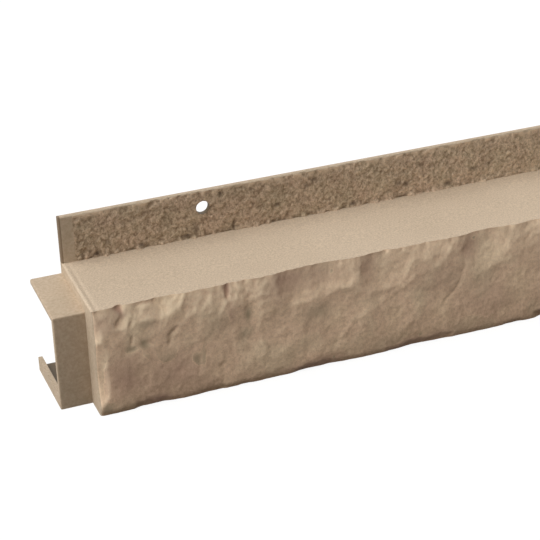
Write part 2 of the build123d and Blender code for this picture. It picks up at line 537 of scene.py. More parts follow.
# %% Creases
creases = [
    # points along the trim and below the edge, half width, depth (below nought for a ridge)
    ([(210, -1), (213, 5), (218, 11), (219.5, 18), (217.5, 25), (213, 33), (207, 38)], 1.2, 0.3),
    ([(41.5, 27), (42.5, 22), (46, 19)], 1.4, 0.45),
    ([(19, 26), (22, 26)], 1.8, 0.2),
    ([(26, 25), (28.5, 24)], 2.2, 0.25),
    ([(75.5, 5), (77, 12), (77.5, 26)], 1.5, 0.25),
    ([(62, 31), (63, 38)], 1.8, 0.25),
    ([(86.5, 17), (88, 25)], 2.0, 0.2),
    ([(2, 1.5), (7, 2.5)], 1.0, 0.3),
    ([(25, 1.5), (33, 1.2)], 1.0, 0.5),
    ([(143, 46), (150, 37), (163, 33)], 1.8, -0.25),
    ([(168, 30), (182, 23), (190, 17)], 1.6, -0.25),
]
CREASE_SEED = 5
FAR_CREASES = 14
CREASE_BENDS = 4
CREASE_STARTS = (-1, 30)
CREASE_STRAY = (-4, 4)
CREASE_FALL = (4, 8)
CREASE_WIDTHS = (1.0, 1.6)
CREASE_DEPTHS = (0.15, 0.3)


def far_creases():
    """Cracks of a few bends each along the far stretch."""
    dice = random.Random(CREASE_SEED)
    for x in along_far(dice, FAR_CREASES):
        drop = dice.uniform(*CREASE_STARTS)
        line = [(x, drop)]
        for _ in range(CREASE_BENDS):
            x += dice.uniform(*CREASE_STRAY)
            drop += dice.uniform(*CREASE_FALL)
            line.append((x, drop))
        yield line, dice.uniform(*CREASE_WIDTHS), dice.uniform(*CREASE_DEPTHS)


def distance_to_line(line):
    """Distance of every rock point from a line of straight runs."""
    nearest = np.full(rock_x.shape, FACE_LENGTH)
    for (x0, d0), (x1, d1) in zip(line, line[1:]):
        length_sq = (x1 - x0) ** 2 + (d1 - d0) ** 2
        along = np.clip(((rock_x - x0) * (x1 - x0) + (rock_drop - d0) * (d1 - d0)) / length_sq, 0, 1)
        gap = np.hypot(rock_x - x0 - along * (x1 - x0), rock_drop - d0 - along * (d1 - d0))
        nearest = np.minimum(nearest, gap)
    return nearest


for line, half_width, depth in [*creases, *far_creases()]:
    stand = stand - depth * np.exp(-((distance_to_line(line) / half_width) ** 2))
print(len(creases) + FAR_CREASES, "creases")

# %% Nicks along the ledge's edge
NICK_DEPTH = 2.0
NICK_REACH = 2.4
NICK_LAYERS = [(6.0, 1.0), (2.4, 0.5)]
CRUMBLE_LAYERS = [(26.0, 1.0)]
CRUMBLE_MEAN = 0.5
CRUMBLE_LEAST = 0.15
nick = rough(rock_x, rock_drop / 2, NICK_LAYERS, seed=71.0)
crumbled = CRUMBLE_MEAN + rough(rock_x, 0 * rock_drop, CRUMBLE_LAYERS, seed=77.0)
crumbled = np.clip(crumbled, CRUMBLE_LEAST, 1)
stand = stand - NICK_DEPTH * crumbled * np.clip(nick, 0, None) * np.exp(-((rock_drop / NICK_REACH) ** 2))
print(f"nicks up to {(NICK_DEPTH * crumbled * nick).max():.1f} mm deep")

# %% Grain, and the limits of the wall
GRAIN_LAYERS = [(16.0, 0.4), (6.0, 0.16), (2.6, 0.1)]
LEAST_WALL = 1.2
FRONT_IN = FRONT_WALL - ROCK_SWELL
stand = stand + rough(rock_x, rock_drop, GRAIN_LAYERS, seed=3.0)
wall_inside = np.interp(
    rock_drop,
    [0, BROW_HEIGHT, FACE_HEIGHT - SKIRT_HEIGHT, FACE_HEIGHT],
    [BROW_WALL, FRONT_IN, FRONT_IN, FRONT_IN + ROCK_TUCK],
)
wall_inside = np.where(rock_x < END_WALL, LEDGE_REACH, wall_inside)
stand = np.clip(stand, LEAST_WALL - wall_inside, ROCK_SWELL)
print(f"rock stands {stand.min():.1f} to {stand.max():.1f} mm")

# %% [markdown]
# ## Ledge, and the soft left end
# The ledge runs from the rock's uneven edge up to the flange. The left end of the moulding is rounded
# over, as a mould has no sharp corners: the first few columns of the rock and the ledge curl in along a
# quarter of an oval, and a faint seam crosses the ledge beside it. A Bevel modifier would catch on the
# rough edge of the rock.

# %% Set the rock and the ledge
ROCK_ROUND = 1.4
LEDGE_ROUND = 0.8
SEAM_PLACE = 3.1
SEAM_HALF_WIDTH = 0.8
SEAM_DEPTH = 0.4
ROWS_TO_FRONT = 1.6
curl = 1 - np.sqrt(1 - (1 - np.clip(column_x / END_ROUND, 0, 1)) ** 2)
edge_y = -LEDGE_REACH - stand[:, 0] + ROCK_ROUND * curl
grid[:, rock_rows, 1] = -LEDGE_REACH - stand + ROCK_ROUND * curl[:, None]
grid[:, rock_rows, 2] *= 1 - LEDGE_ROUND / FACE_HEIGHT * curl[:, None]
share = np.linspace(0, 1, LEDGE_ROWS + 1) ** ROWS_TO_FRONT
ledge_y = edge_y[:, None] + share[None, :] * (-FLANGE_WALL - edge_y)[:, None]
grid[:, ledge_rows, 1] = ledge_y
seam = SEAM_DEPTH * np.exp(-(((column_x - SEAM_PLACE) / SEAM_HALF_WIDTH) ** 2))
grid[:, ledge_rows, 2] = ledge_level(ledge_y) - (LEDGE_ROUND * curl + seam)[:, None]
print(f"ledge edge wanders {np.ptp(edge_y):.1f} mm")

# %% [markdown]
# ## Numbers for painted light and shade, and for stains
# Each rock point keeps one number, from 0 in a crease to 1 on a ridge: how far it stands above the mean
# of its neighbours, and how far it faces up and to the left. It is painted light and shade: ridges and
# the facets that face up and to the left get a painted highlight, creases painted shade, the brow is
# painted lighter and the foot darker as painted shade. A second number holds soft clouds: grey-green
# stains count up from nought, purple-brown ones down, and some purple-brown ones are painted shade.
# Some are listed one by one, and the rest are thrown along the trim.
# Vertex Paint could lay them on by hand, but in code they follow every change of the rock.

# %% Height over the neighbourhood
RELIEF_SPAN = 3
MID_RELIEF = 0.5
RIDGE_GAIN = 0.4
SLOPE_GAIN = 0.6
SLOPE_LIMITS = (-0.3, 0.5)
LEFT_SHARE = 0.7
BROW_PAINTED_LIGHT = 0.13
BROW_PAINTED_LIGHT_REACH = 18.0
FOOT_PAINTED_SHADE = 0.2
FOOT_PAINTED_SHADE_FROM = 36.0


def blur(table, axis):
    """The mean of each value with its neighbours along one axis, weighted like a bell."""
    weights = np.exp(-((np.arange(-2 * RELIEF_SPAN, 2 * RELIEF_SPAN + 1) / RELIEF_SPAN) ** 2))
    pad = [(0, 0), (0, 0)]
    pad[axis] = (2 * RELIEF_SPAN, 2 * RELIEF_SPAN)
    padded = np.pad(table, pad, mode="edge")
    return np.apply_along_axis(np.convolve, axis, padded, weights / weights.sum(), "valid")


facing_up = np.gradient(stand, axis=1) / np.gradient(rock_drop, axis=1)
facing_left = np.gradient(stand, axis=0) / np.gradient(rock_x, axis=0)
standing_out = stand - blur(blur(stand, 0), 1)
painted_shading = np.full(grid.shape[:2], MID_RELIEF)
# Painted light and shade: ridges and facets that face up and to the left, toward the lamp, are painted
# paler, creases darker; the brow gets painted light and the foot painted shade.
lit = np.clip(facing_up + LEFT_SHARE * facing_left, *SLOPE_LIMITS)
painted_light = wild * (RIDGE_GAIN * standing_out + SLOPE_GAIN * lit)
painted_light += BROW_PAINTED_LIGHT * np.exp(-((pulled_drop / BROW_PAINTED_LIGHT_REACH) ** 2))
painted_light -= FOOT_PAINTED_SHADE * np.clip((pulled_drop - FOOT_PAINTED_SHADE_FROM) / (FACE_HEIGHT - FOOT_PAINTED_SHADE_FROM), 0, 1)
painted_shading[:, rock_rows] = np.clip(MID_RELIEF + painted_light, 0, 1)
print("painted_shading", np.percentile(painted_shading[:, rock_rows], [2, 50, 98]).round(2))

# %% Stains
# Grey-green clouds (above nought) are stains. Purple-brown ones (below nought) are soft tone at the
# right, and painted shade in the scoop floors by the top edge, in the two notches and along the foot.
stains_and_painted_shade = [
    # place along, place below the edge, half length, half height, strength
    (20, 25.5, 2.6, 2.2, 0.7), (28, 24.5, 3, 3.4, 0.8), (39, 37, 7, 7, 0.4), (22, 36, 9, 9, 0.25),
    (56.5, 41, 3.6, 4.6, 0.7), (61, 40, 1.8, 6, 0.5), (46, 54, 16, 6, 0.25), (70, 22, 6, 8, 0.35),
    (28, 13, 4, 2.6, 0.5), (87, 20.5, 2.2, 4, 0.8), (86, 31, 4.6, 4, 0.4), (128, 28, 10, 5, 0.5),
    (172, 56, 9, 5, 0.3), (191, 57, 1.4, 1.2, 0.8), (137, 59, 1.4, 1.2, 0.8),
    (138.5, 5.5, 1, 1.2, 0.8), (226, 4, 1.2, 1, 0.8), (222, 57, 14, 6, 0.3), (4, 59, 4, 3, 0.7),
    (14.5, 2, 2.6, 3.6, -0.9), (5, 8, 8, 7, -0.4), (3, 38, 6, 16, 0.3), (75.5, 3, 2.4, 6, -0.9),
    (77.5, 17, 1.6, 8, -0.4), (110, 6, 13, 9, -0.65), (128, 6, 14, 8, -0.4),
    (160, 7, 6.5, 9, -0.35), (222, 8, 6, 10, -0.45), (206, 22, 14, 9, -0.3),
    (236, 44, 22, 12, -0.3), (15, 42, 12, 13, -0.65), (42, 46, 22, 12, -0.55),
    (33, 60, 9, 3.5, -0.7), (125, 61, 18, 3.5, -0.6), (187, 61, 20, 4, -0.6),
]
STAIN_SEED = 31
FAR_STAINS = 44
FAR_STAINS_FROM = 250.0
STAIN_SIZES = (3, 15)
STAIN_STRENGTHS = (0.2, 0.5)
STAIN_DROPS = (4, 58)
STAIN_HEIGHTS = (0.5, 1.0)
dice = random.Random(STAIN_SEED)
for x in along_far(dice, FAR_STAINS, FAR_STAINS_FROM):
    half = dice.uniform(*STAIN_SIZES)
    strength = dice.choice((-1, 1)) * dice.uniform(*STAIN_STRENGTHS)
    stains_and_painted_shade.append((x, dice.uniform(*STAIN_DROPS), half, half * dice.uniform(*STAIN_HEIGHTS), strength))


def patch(x, z, spot_x, spot_z, half_length, half_height):
    """A soft patch round one spot: one in its middle and nought far from it."""
    return np.exp(-(((x - spot_x) / half_length) ** 2) - ((z - spot_z) / half_height) ** 2)


rock_stain_and_shade = np.zeros(stand.shape)
for *spot, strength in stains_and_painted_shade:
    cloud = strength * patch(pulled_x, pulled_drop, *spot)
    rock_stain_and_shade = np.where(np.abs(cloud) > np.abs(rock_stain_and_shade), cloud, rock_stain_and_shade)
stain_and_painted_light = np.zeros(grid.shape[:2])
stain_and_painted_light[:, rock_rows] = rock_stain_and_shade
print(len(stains_and_painted_shade), "stains_and_painted_shade")

# %% [markdown]
# ## Stucco on the flange
# The flange's front is rough like thrown plaster, apart from a plain strip at the left end where the
# next length overlaps. The rows of the flange are moved in and out by noise that is cut flat at the top,
# so that it reads as blobs with narrow gaps. At the foot it runs out over the ledge in crumbs, with
# painted shade in the gaps between them. Raised grains get a painted highlight and low ones painted
# shade. The top edge keeps its place, and painted light makes the colour a little paler away from the
# tongue.

# %% Stucco
PLAIN_STRIP = 8.0
FOOT_REACH = 1.8
STUCCO_GAIN = 0.6
FAR_PAINTED_LIGHT = 0.25
FAR_PAINTED_LIGHT_FROM = 120.0
BLOB_LAYERS = [(5.0, 0.7), (2.6, 0.9), (1.4, 0.6)]
BLOB_LIMITS = (-0.7, 0.4)
CALM_LAYERS = [(24.0, 0.5)]
CALM_LIMITS = (0.25, 1)
CALM_MEAN = 0.55
CRUMB_LAYERS = [(7.0, 0.6), (2.4, 1.0)]
CRUMB_GAIN = 1.8
CRUMB_MEAN = 0.2
CRUMB_MOST = 2.0
stucco_x = grid[:, flange_rows, 0]
stucco_up = grid[:, flange_rows, 2] - LEDGE_BACK
blobs = rough(stucco_x, stucco_up, BLOB_LAYERS, seed=8.0)
calm = np.clip(CALM_MEAN + rough(stucco_x, stucco_up, CALM_LAYERS, seed=29.0), *CALM_LIMITS)
crumbs = rough(stucco_x, stucco_up / 2, CRUMB_LAYERS, seed=15.0)
at_foot = np.exp(-((stucco_up / FOOT_REACH) ** 2))
off_strip = np.clip(stucco_x - PLAIN_STRIP, 0, 1)
stucco = (1 - at_foot) * calm * np.clip(blobs, *BLOB_LIMITS)
stucco += at_foot * np.clip(CRUMB_GAIN * crumbs + CRUMB_MEAN, 0, CRUMB_MOST)
stucco *= off_strip
# Painted light: the flange is painted paler away from the tongue, and raised grains paler than low ones,
# which get painted shade.
far_painted_light = FAR_PAINTED_LIGHT * np.clip((stucco_x - FAR_PAINTED_LIGHT_FROM) / FAR_PAINTED_LIGHT_FROM, 0, 1)
grain_light_and_shade = STUCCO_GAIN * (stucco - blur(blur(stucco, 0), 1))
painted_shading[:, flange_rows] = np.clip(MID_RELIEF + far_painted_light + grain_light_and_shade, 0, 1)
print(f"stucco {stucco.min():.2f} to {stucco.max():.2f} mm")

# %% Pits with painted shade, and a painted highlight on the top edge
FLANGE_ROUND = 0.8
TOP_REACH = 2.5
TOP_HIGHLIGHT = 0.8
TOP_GAIN = 2.0
TOP_MEAN = 0.7
PIT_DEPTH = 0.5
FOOT_PIT_MOST = 0.6
# Spots of painted shade, each also a shallow pit in the stucco
flange_pits = [
    # place along, place above the ledge, half length, half height, strength
    (20.5, 2, 1.8, 1.5, 1), (12, 2.5, 1.2, 2, 0.6), (16.5, 4.5, 1.5, 1.3, 0.6),
    (27, 8, 1.6, 2, 0.5), (46.5, 2, 2, 1.2, 0.7), (73.5, 2.2, 2.8, 0.9, 1), (79, 5, 1.6, 2, 0.6),
    (101.5, 2, 1, 1.8, 0.8), (94.5, 24, 1.6, 1.2, 0.8), (109, 26.3, 2.4, 0.8, 0.7),
    (112.5, 24, 1.5, 1.4, 0.6), (128.5, 11, 1.6, 1.2, 0.8), (152, 22, 2, 1.6, 0.7),
    (176, 2, 2.4, 1.2, 0.8), (205, 9, 2, 1.6, 0.6), (238, 3, 2.6, 1.4, 0.8),
    (147, 19, 1.6, 1.4, 0.6), (210, 8, 2.2, 1.4, 0.8), (219, 19, 2, 1.4, 0.6),
    (255, 9.5, 3, 1.2, 0.7), (265, 11, 3, 1, 0.6),
]
at_top = np.exp(-(((stucco_up - stucco_up.max()) / TOP_REACH) ** 2))
pits = np.clip(-at_foot * crumbs, 0, FOOT_PIT_MOST)
for *spot, strength in flange_pits:
    pits = np.maximum(pits, strength * patch(stucco_x, stucco_up, *spot))
pits *= off_strip
# Painted shade in the pits and between the foot's crumbs counts up, and a painted highlight along the
# top edge counts down.
stain_and_painted_light[:, flange_rows] = pits - TOP_HIGHLIGHT * at_top * np.clip(TOP_MEAN + TOP_GAIN * blobs, 0, 1)
stucco = stucco - PIT_DEPTH * pits
grid[:, flange_rows, 1] -= stucco - FLANGE_ROUND * curl[:, None]
grid[:, flange_rows[0], 2] = ledge_level(grid[:, flange_rows[0], 1]) - LEDGE_ROUND * curl
print(len(flange_pits), "pits by hand")

# %% [markdown]
# ## Closing the body
# The table goes back into the mesh, the two open ends are filled, and every face gets the number of its
# finish: plain moulding, rock, sanded ledge or stucco. The faces know their side by the place of their
# points in the outline, and the strip at the flange's left end and the very end of the rock stay plain.

# %% Close the ends and name the sides
trim.data.vertices.foreach_set("co", (grid * MM + np.array(ORIGIN)).ravel())
for name, table in (("painted_shading", painted_shading), ("stain_and_painted_light", stain_and_painted_light)):
    trim.data.attributes.new(name, "FLOAT", "POINT").data.foreach_set("value", table.ravel())
trim.data.update()
PLAIN, ROCK, LEDGE, STUCCO, SHADED_INSIDE = range(5)
PLAIN_END = 0.4 * END_ROUND
side_of_rows = [(ROCK, set(rock_rows)), (LEDGE, set(ledge_rows)), (STUCCO, set(flange_rows))]
for face in trim.data.polygons:
    ring = {i % outline_count for i in face.vertices}
    side = next((side for side, rows in side_of_rows if ring <= rows), PLAIN)
    plain_until = {ROCK: PLAIN_END, STUCCO: PLAIN_STRIP}.get(side, 0)
    face.material_index = side if (face.center - ORIGIN).x > plain_until * MM else PLAIN

make_active(trim)
enter_edit("DESELECT")
bpy.ops.mesh.select_mode(type="EDGE")
bpy.ops.mesh.select_non_manifold()
bpy.ops.mesh.edge_face_add()
bpy.ops.mesh.select_all(action="SELECT")
bpy.ops.mesh.normals_make_consistent(inside=False)
leave_edit()
print(len(trim.data.polygons), "faces in the closed body")

# %% [markdown]
# ## The tongue
# The tongue is a plain box of thin walls that slips into the next trim, lower and shorter than the body.
# It starts as a bar, its long top edge and the two leading edges at its free end are rounded with the
# Bevel operator, and it is joined to the body. The hollow comes later, for both at once.

# %% Tongue
TONGUE_FRONT = -(LEDGE_REACH - TONGUE_SETBACK)
TONGUE_SOFT = 0.9
SOFT_STEPS = 3
NEAR = 0.1


def under_ledge(front, back, bottom, drop):
    """Corners of an outline whose top runs along the ledge, this far below it."""
    tops = [(y, ledge_level(y) - drop) for y in (back, front)]
    return [(front, bottom), (back, bottom), *tops]


tongue = make_bar("tongue", -TONGUE_LENGTH, END_WALL, under_ledge(TONGUE_FRONT, 0, 0, TONGUE_DROP))


def on_two_sides(ends):
    """Whether an edge lies between two of these three sides: free end, front and top."""
    sides = [
        lambda p: p.x < -TONGUE_LENGTH + NEAR,
        lambda p: p.y < TONGUE_FRONT + NEAR,
        lambda p: p.z > ledge_level(p.y) - TONGUE_DROP - NEAR,
    ]
    return sum(all(map(side, ends)) for side in sides) == 2


select_edges(tongue, on_two_sides)
bpy.ops.mesh.bevel(offset=TONGUE_SOFT * MM, segments=SOFT_STEPS)
leave_edit()
combine(trim, tongue, "UNION")
print(len(trim.data.polygons), "faces with the tongue")

# %% [markdown]
# ## The hollow inside
# The moulding has thin even walls, and it is open at the wall and at the right end. One cutting tool is
# put together from plain bars, as a mould maker thinks of a core: the room under the ledge, the room in
# the tongue less the catch rib at its free end, the notch for the next tongue and the nail holes. The
# cut leaves some points a hair apart and some faces with many sides, so these are welded and split, and
# the faces of the room and of the nail holes then get a dark finish of their own, which is painted
# shade.

# %% Core of the mould
PAST = 2.0
CATCH_HEIGHT = 8.4
CATCH_WALL = 2.4
JOINT_GAP = 1.0
NAIL_HOLE_RADIUS = 4.0
NAIL_HOLE_HEIGHT = 17.7
NAIL_HOLE_LEVEL = LEDGE_BACK + NAIL_HOLE_HEIGHT
NAIL_HOLE_INSET = 83.6
NAIL_HOLES = 4
NAIL_HOLE_SIDES = 40

inner_face = -LEDGE_REACH - ROCK_SWELL + FRONT_WALL
inner_foot = inner_face + ROCK_TUCK
brow_in = (-LEDGE_REACH + BROW_WALL, ledge_level(-LEDGE_REACH + BROW_WALL))
brow_out = (inner_face, FACE_HEIGHT - BROW_HEIGHT)


def on_line(first, last, z):
    """The y at height z on the line through two (y, z) points."""
    return first[0] + (last[0] - first[0]) * (z - first[1]) / (last[1] - first[1])


roof = ledge_level(brow_in[0]) - LEDGE_WALL
core = make_bar(
    "core",
    END_WALL,
    FACE_LENGTH + PAST,
    [
        (PAST, LIP_WALL),
        (PAST, ledge_level(PAST) - LEDGE_WALL),
        (on_line(brow_in, brow_out, roof), roof),
        brow_out,
        (inner_face, SKIRT_HEIGHT),
        (on_line((inner_face, SKIRT_HEIGHT), (inner_foot, 0), LIP_WALL), LIP_WALL),
    ],
)
tongue_roof = TONGUE_DROP + TONGUE_WALL
inner_front = TONGUE_FRONT + TONGUE_WALL
tongue_room = make_bar(
    "tongue_room",
    -TONGUE_LENGTH - PAST,
    END_WALL + PAST,
    under_ledge(inner_front, PAST, LIP_WALL, tongue_roof),
)


def rectangle(front, back, bottom, top):
    """Corners of a plain four-sided outline."""
    return [(front, bottom), (back, bottom), (back, top), (front, top)]


catch = make_bar(
    "catch_rib",
    -TONGUE_LENGTH - 2 * PAST,
    -TONGUE_LENGTH + CATCH_WALL,
    rectangle(2 * TONGUE_FRONT, 2 * PAST, -PAST, CATCH_HEIGHT),
)
notch = make_bar(
    "socket_notch",
    FACE_LENGTH - TONGUE_LENGTH - JOINT_GAP,
    FACE_LENGTH + PAST,
    rectangle(TONGUE_FRONT - JOINT_GAP, PAST, -PAST, LIP_WALL + PAST),
)
combine(core, tongue_room, "UNION")
combine(core, catch, "DIFFERENCE")
combine(core, notch, "UNION")
nail_spacing = (FACE_LENGTH - 2 * NAIL_HOLE_INSET) / (NAIL_HOLES - 1)
for i in range(NAIL_HOLES):
    deselect_all()
    bpy.ops.mesh.primitive_cylinder_add(
        vertices=NAIL_HOLE_SIDES,
        radius=NAIL_HOLE_RADIUS * MM,
        depth=(FLANGE_WALL + 2 * PAST) * MM,
        location=place(NAIL_HOLE_INSET + nail_spacing * i, -FLANGE_WALL / 2, NAIL_HOLE_LEVEL),
        rotation=(math.pi / 2, 0, 0),
    )
    drill = bpy.context.object
    bpy.ops.object.transform_apply(location=True, rotation=True, scale=True)
    combine(core, drill, "UNION")
print(len(core.data.polygons), "faces in the core")
combine(trim, core, "DIFFERENCE")
print(len(trim.data.polygons), "faces in the hollow trim")

# %% Weld points that the cuts left a hair apart
WELD = 0.02
QUAD = 4
make_active(trim)
enter_edit("SELECT")
bpy.ops.mesh.remove_doubles(threshold=WELD * MM)
bpy.ops.mesh.dissolve_degenerate(threshold=WELD * MM)
bpy.ops.mesh.select_mode(type="FACE")
bpy.ops.mesh.select_face_by_sides(number=QUAD, type="GREATER", extend=False)
bpy.ops.mesh.quads_convert_to_tris(ngon_method="BEAUTY")
leave_edit()
print(len(trim.data.polygons), "faces after welding")

# %% Name the inside
SKIN = 0.05


def in_room(p):
    """Points in the room of the body or of the tongue, its walls included."""
    if p.x > END_WALL - SKIN:
        front, ceiling = inner_face, ledge_level(p.y) - LEDGE_WALL
    else:
        front, ceiling = inner_front, ledge_level(p.y) - tongue_roof
    return front - SKIN < p.y < SKIN and LIP_WALL - SKIN < p.z < ceiling + SKIN


def in_hole(p):
    """Points between the two faces of the flange, at the level of the nail holes and off its end."""
    in_wall = p.x > PLAIN_STRIP and -FLANGE_WALL + SKIN < p.y < -SKIN
    return in_wall and abs(p.z - NAIL_HOLE_LEVEL) < NAIL_HOLE_RADIUS


rib_end = -TONGUE_LENGTH + CATCH_WALL - SKIN
# The faces of the room and of the nail holes get the dark inside finish, which is painted shade.
for face in trim.data.polygons:
    middle = (face.center - ORIGIN) / MM
    corners = [(trim.data.vertices[i].co - ORIGIN) / MM for i in face.vertices]
    in_length = rib_end < middle.x < FACE_LENGTH - SKIN
    if face.material_index == PLAIN and in_length and (in_hole(middle) or all(map(in_room, corners))):
        face.material_index = SHADED_INSIDE
print(sum(face.material_index == SHADED_INSIDE for face in trim.data.polygons), "faces inside")

# %% Shade the trim and test that it is closed
SMOOTH_UNTIL = math.radians(38)
make_active(trim)
bpy.ops.object.shade_smooth_by_angle(angle=SMOOTH_UNTIL)
edge_faces = {}
for face in trim.data.polygons:
    for key in face.edge_keys:
        edge_faces[key] = edge_faces.get(key, 0) + 1
open_edges = sum(count != 2 for count in edge_faces.values())
triangles = sum(len(face.vertices) - 2 for face in trim.data.polygons)
print(triangles, "triangles,", open_edges, "edges that don't join two faces")

# %% [markdown]
# ## Finishes
# The whole trim is one tan polymer, but its skin differs: the rock is pinkish with grey-green clouds,
# with a painted highlight on its ridges and painted shade in its creases, the ledge is speckled like
# fine sand, the flange is rough, the tongue is plain with painted shade on its front, and the inside is
# a dark brown that is painted shade. Each finish is a small node tree on Object coordinates and on the
# two numbers that the mesh keeps for its points. Image textures would need an unwrapped mesh, and these
# need none. A few helpers add the nodes that all of them use.

# %% Node helpers
SPECULAR = 0.3
PULL_GRAIN = 0.6
PULL_REACH = 2
BLACK = (0, 0, 0, 1)
WHITE = (1, 1, 1, 1)
# Places of the colour sockets on a Mix node, which has a set for each kind of value
MIX_SHARE, MIX_FIRST, MIX_SECOND, MIX_RESULT = 0, 6, 7, 2


def srgb(red, green, blue):
    """A colour as seen on screen, from 0 to 255, as the linear values that a shader takes."""
    def linear(channel):
        value = channel / 255
        return value / 12.92 if value <= 0.04045 else ((value + 0.055) / 1.055) ** 2.4
    return linear(red), linear(green), linear(blue), 1


def add_node(tree, kind, inputs, **settings):
    """A new node with its settings, and its inputs by name or number: each a socket or a plain value."""
    node = tree.nodes.new("ShaderNode" + kind)
    for key, value in settings.items():
        setattr(node, key, value)
    for key, value in inputs.items():
        if isinstance(value, bpy.types.NodeSocket):
            tree.links.new(value, node.inputs[key])
        else:
            node.inputs[key].default_value = value
    return node


def add_noise(tree, vector, grain, detail=3.0, rough_share=0.5):
    """Noise with a grain size in millimetres."""
    inputs = {"Vector": vector, "Scale": 1 / grain, "Detail": detail, "Roughness": rough_share}
    return add_node(tree, "TexNoise", inputs).outputs["Fac"]


def add_pebbles(tree, vector, grain):
    """Distance to the nearest of many scattered points, pulled about so that no cell is straight."""
    pull = add_node(tree, "TexNoise", {"Vector": vector, "Scale": PULL_GRAIN / grain}).outputs["Color"]
    reach = (PULL_REACH * grain,) * 3
    pulled = add_node(tree, "VectorMath", {0: pull, 1: reach, 2: vector}, operation="MULTIPLY_ADD")
    cells = add_node(tree, "TexVoronoi", {"Vector": pulled.outputs[0], "Scale": 1 / grain})
    return cells.outputs["Distance"]


def add_ramp(tree, value, *stops):
    """A colour ramp through (place, colour) stops."""
    node = add_node(tree, "ValToRGB", {"Fac": value})
    elements = node.color_ramp.elements
    while len(elements) < len(stops):
        elements.new(0.5)
    for element, (spot, colour) in zip(elements, stops):
        element.position = spot
        element.color = colour
    return node.outputs["Color"]


def add_mix(tree, share, first, second, blend="MIX"):
    """Mix two colours by a share, each a socket or a plain value."""
    inputs = {MIX_SHARE: share, MIX_FIRST: first, MIX_SECOND: second}
    return add_node(tree, "Mix", inputs, data_type="RGBA", blend_type=blend).outputs[MIX_RESULT]


def tint(tree, colour, filter_colour):
    """A colour seen through another one."""
    return add_mix(tree, 1.0, colour, filter_colour, "MULTIPLY")


def add_math(tree, operation, first, second):
    """Two numbers, each a socket or a plain value, worked into one."""
    return add_node(tree, "Math", {0: first, 1: second}, operation=operation).outputs[0]


def turned(tree, number):
    """A number with its sign turned round."""
    return add_math(tree, "MULTIPLY", number, -1)


def read_attribute(tree, name):
    """A number that the mesh keeps for each of its points."""
    return add_node(tree, "Attribute", {}, attribute_name=name).outputs["Fac"]


# %% From a paint function to a material
def make_finish(name, roughness, paint):
    """A node material. A paint function gives its colour, and its bumps with their depths."""
    material = bpy.data.materials.new(name)
    material.use_nodes = True
    tree = material.node_tree
    shader = tree.nodes["Principled BSDF"]
    shader.inputs["Roughness"].default_value = roughness
    shader.inputs["Specular IOR Level"].default_value = SPECULAR
    metres = add_node(tree, "TexCoord", {}).outputs["Object"]
    millimetres = add_node(tree, "Mapping", {"Vector": metres, "Scale": (1 / MM,) * 3}).outputs["Vector"]
    colour, *bumps = paint(tree, millimetres)
    tree.links.new(colour, shader.inputs["Base Color"])
    normal = shader.inputs["Normal"]
    for height, depth in reversed(bumps):
        node = add_node(tree, "Bump", {"Height": height, "Distance": depth * MM})
        tree.links.new(node.outputs["Normal"], normal)
        normal = node.inputs["Normal"]
    return material


# %% Rock
def paint_rock(tree, vector):
    """Split stone: pink and tan clouds, grey-green stains, purple-brown tone that is partly painted
    shade, painted highlights on ridges, painted shade in creases, fine grain.
    """
    base = add_ramp(
        tree,
        add_noise(tree, vector, 30.0),
        (0.35, srgb(250, 222, 187)),
        (0.5, srgb(248, 214, 181)),
        (0.66, srgb(252, 221, 185)),
    )
    painted_shading = read_attribute(tree, "painted_shading")
    # Painted shade in the creases, and a painted highlight on ridges and on facets that face the lamp.
    crease_shade = add_ramp(tree, painted_shading, (0.1, srgb(200, 192, 184)), (0.5, WHITE))
    mottle = add_ramp(
        tree, add_noise(tree, vector, 2.0, 5.0, 0.7), (0.3, srgb(222, 218, 215)), (0.62, WHITE)
    )
    ridge_highlight = add_ramp(tree, painted_shading, (0.55, BLACK), (0.9, srgb(215, 215, 215)))
    stain_and_painted_light = read_attribute(tree, "stain_and_painted_light")
    coloured = tint(tree, tint(tree, base, crease_shade), mottle)
    coloured = add_mix(tree, ridge_highlight, coloured, srgb(250, 227, 194))
    coloured = add_mix(tree, stain_and_painted_light, coloured, srgb(160, 144, 118))
    # Purple-brown: soft tone, and painted shade in the scoop floors, the notches and along the foot.
    coloured = add_mix(tree, turned(tree, stain_and_painted_light), coloured, srgb(176, 140, 121))
    coarse = add_noise(tree, vector, 2.6, 4.0, 0.65)
    fine = add_noise(tree, vector, 0.9)
    return coloured, (coarse, 0.2), (fine, 0.13)


# %% Ledge
def paint_ledge(tree, vector):
    """Fine sand: a speckle under a millimetre and a faint cloud along the ledge."""
    clouds = add_ramp(
        tree, add_noise(tree, vector, 60.0), (0.3, srgb(214, 194, 169)), (0.7, srgb(220, 200, 175))
    )
    grain = add_noise(tree, vector, 0.9, 4.0, 0.6)
    speckle = add_ramp(tree, grain, (0.3, srgb(214, 212, 210)), (0.7, WHITE))
    return tint(tree, clouds, speckle), (grain, 0.1)


